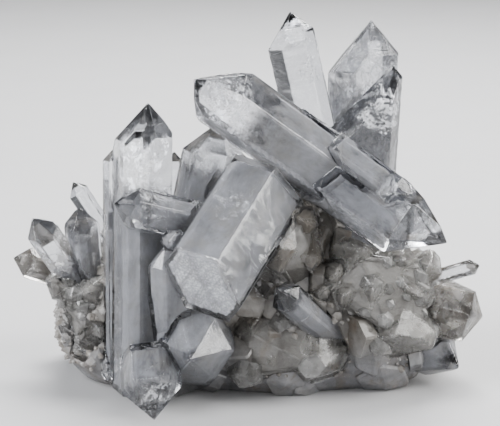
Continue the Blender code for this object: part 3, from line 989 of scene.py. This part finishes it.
def make_mass(name, nodes, depth, tree, finish):
    """The cloudy quartz between neighbours: the hull round them, drawn in so that they stand out of it."""
    bm = bmesh.new()
    for node in nodes:
        solid = solid_of(node)
        for vertex in solid.verts:
            bm.verts.new(vertex.co)
        solid.free()
    hull = bmesh.ops.convex_hull(bm, input=bm.verts)
    spare = [v for v in hull["geom_interior"] + hull["geom_unused"] if isinstance(v, bmesh.types.BMVert)]
    bmesh.ops.delete(bm, geom=list(set(spare)), context="VERTS")
    obj = link_mesh("rough", bm)
    sizes = {"Crumb Depth": 0.7 * MM, "Grain Depth": 0.35 * MM, "Swell": -depth, "Finish": finish}
    piece = rough_stone(obj, name, tree, 2, sizes)
    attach(piece, "root")
    return piece


def stand_crystals(name, ground, is_shut, seed_crystal, tree, values):
    """Stands little crystals on the vertices of the ground that are not shut off."""
    mesh = ground.data.copy()
    mesh.attributes.new("open", "FLOAT", "POINT")
    mesh.attributes["open"].data.foreach_set("value", [0.0 if is_shut(v) else 1.0 for v in mesh.vertices])
    obj = linked("little_crystal_ground", mesh)
    modifier = obj.modifiers.new("druse", "NODES")
    modifier.node_group = tree
    set_inputs(modifier, tree, {"Crystal": seed_crystal, **values})
    piece = as_plain_mesh(obj, name)
    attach(piece, "root")


def shut_on_rock(vertex):
    """Where nothing small grows on the rock: under larger crystals, at the foot, and on its bare patches."""
    start = vertex.co + vertex.normal * 0.2 * MM
    if BLOCKERS.ray_cast(start, vertex.normal, OPEN_REACH)[0] is not None:
        return True
    crumbly = vertex.co.x < CRUMBLY_LEFT or vertex.co.y > CRUMBLY_BACK
    bare = not crumbly and noise.noise(vertex.co * 130) < 0.12
    back = vertex.co.y > BACK_FACE - 4 * MM
    return bare or back or vertex.co.z < 7 * MM or vertex.normal.z < -0.5


def shut_on_base(vertex):
    """Where no broad facet stands: at the left end, near the back face, at the foot and under overhangs."""
    left_end = vertex.co.x < CRUMBLY_LEFT and vertex.co.y < 12 * MM
    back = vertex.co.y > BACK_FACE - 12 * MM
    return left_end or back or vertex.normal.z < -0.5 or vertex.co.z < 3 * MM


def shut_on_back(vertex):
    """The smaller facets stand on the back part only."""
    return vertex.co.y < 20 * MM or vertex.normal.z < -0.5 or vertex.co.z < 4 * MM


def shut_on_mass(vertex):
    """A mass has no crust behind it, under its overhangs or at the foot."""
    return vertex.normal.y > 0.2 or vertex.normal.z < -0.6 or vertex.co.z < 4 * MM


surface_tree = rock_tree()
small_tree = druse_tree()
BLOCKERS = crystals_bvh()
rock_finish = rock_material()
rock = make_rock(surface_tree, rock_finish)
sharp_seed = little_crystal("sharp_seed", 0.36, 0.25, 0.62)
blunt_seed = little_crystal("blunt_seed", 0.42, 0.05, 0.32)
flat_seed = little_crystal("flat_seed", 0.42, 0.01, 0.15)
druse_finish = druse_material("druse_quartz", grey(0.42, 0.39, 0.35), grey(0.70, 0.69, 0.68), 0.6)
crust_finish = druse_material("crust_quartz", grey(0.17, 0.167, 0.16), grey(0.37, 0.369, 0.364), 0.55)
stand_crystals("druse", rock, shut_on_rock, sharp_seed, small_tree, {
    "Spacing": 1.78 * MM, "Density": 500000.0, "Shortest": 1.6 * MM, "Longest": 4.4 * MM, "Tilt": 0.4,
    "Seed": 11, "Finish": druse_finish,
})
stand_crystals("rock_facets", rock, shut_on_base, flat_seed, small_tree, {
    "Spacing": 8 * MM, "Density": 60000.0, "Shortest": 12 * MM, "Longest": 24 * MM, "Tilt": 0.3,
    "Seed": 5, "Finish": rock_finish,
})
stand_crystals("back_facets", rock, shut_on_back, flat_seed, small_tree, {
    "Spacing": 5 * MM, "Density": 100000.0, "Shortest": 7 * MM, "Longest": 13 * MM, "Tilt": 0.2,
    "Seed": 8, "Finish": rock_finish,
})
cloudy = mass_material()
for number, (name, (nodes, depth, crust)) in enumerate(MASSES.items()):
    mass = make_mass(name, nodes, depth, surface_tree, cloudy)
    if not crust:
        continue
    spacing, shortest, longest = (size * MM for size in crust)
    stand_crystals(name + "_crust", mass, shut_on_mass, blunt_seed, small_tree, {
        "Spacing": spacing, "Density": 200000.0, "Shortest": shortest, "Longest": longest, "Tilt": 0.35,
        "Seed": 21 + number, "Finish": crust_finish,
    })
for seed_crystal in (sharp_seed, blunt_seed, flat_seed):
    bpy.data.objects.remove(seed_crystal)


# ---------------------------------------------------------------- floor, light and camera

def make_floor():
    material, web, out = new_material("pale_floor")
    place = place_in(web)
    tone = web.mixed(web.cloud(place, 30.0, 4.0), grey(0.455, 0.455, 0.46), grey(0.485, 0.485, 0.49))
    named = {"Base Color": tone, "Roughness": 0.75}
    web.put(out.inputs["Surface"], principled(web, named))
    bm = bmesh.new()
    bmesh.ops.create_grid(bm, x_segments=8, y_segments=8, size=4.0)
    floor = link_mesh("floor", bm)
    floor.data.materials.append(material)
    floor.location.z = cad_box[0][2]


def soft_light(name, place, size, power, tone=(1.0, 1.0, 1.0)):
    lamp = bpy.data.lights.new(name, "AREA")
    lamp.shape = "RECTANGLE"
    lamp.size, lamp.size_y = size
    lamp.energy = power
    lamp.color = tone
    obj = linked(name, lamp)
    obj.location = place
    aim = Vector((0.0, 0.0, 0.055)) - obj.location
    obj.rotation_euler = aim.to_track_quat("-Z", "Y").to_euler()


def make_world():
    world = bpy.data.worlds.new("studio")
    world.use_nodes = True
    world.node_tree.nodes.clear()
    web = Web(world.node_tree)
    out = web.add("ShaderNodeOutputWorld")
    web.put(out.inputs[0], web.add("ShaderNodeBackground", (grey(0.095, 0.098, 0.105), 1.0)).outputs[0])
    bpy.context.scene.world = world


CAMERA_LENS = 159.3
CAMERA_DISTANCE = 0.7
CAMERA_RISE = math.radians(14)
CAMERA_AIM = Vector((0.9, 3.1, 54.2)) * MM


def make_camera():
    data = bpy.data.cameras.new("camera")
    data.sensor_width = 36.0
    data.lens = CAMERA_LENS
    data.clip_start = 0.01
    camera = linked("camera", data)
    away = Vector((0, -math.cos(CAMERA_RISE), math.sin(CAMERA_RISE)))
    camera.location = CAMERA_AIM + CAMERA_DISTANCE * away
    camera.rotation_euler = (math.radians(90) - CAMERA_RISE, 0, 0)
    bpy.context.scene.camera = camera


# Each lamp: its place and size in metres, its power in watts, and its tone.
LAMPS = {
    "front_fill": ((0.18, -0.95, 0.30), (0.8, 0.5), 3.6),
    "left_window": ((-0.62, -0.30, 0.42), (0.42, 0.6), 9.5, (0.97, 0.98, 1.0)),
    "right_window": ((0.62, -0.10, 0.40), (0.4, 0.65), 7.0, (1.0, 0.99, 0.97)),
    "back_window": ((0.10, 0.70, 0.55), (0.7, 0.25), 7.0),
    "top_window": ((0.06, 0.30, 0.85), (0.34, 0.34), 7.5),
}

make_floor()
make_world()
for name, facts in LAMPS.items():
    soft_light(name, *facts)
make_camera()

bpy.context.scene.view_settings.look = "AgX - Medium High Contrast"
cycles = bpy.context.scene.cycles
cycles.transparent_max_bounces = 32
cycles.max_bounces = 14
cycles.transmission_bounces = 14
cycles.caustics_reflective = False
cycles.caustics_refractive = False
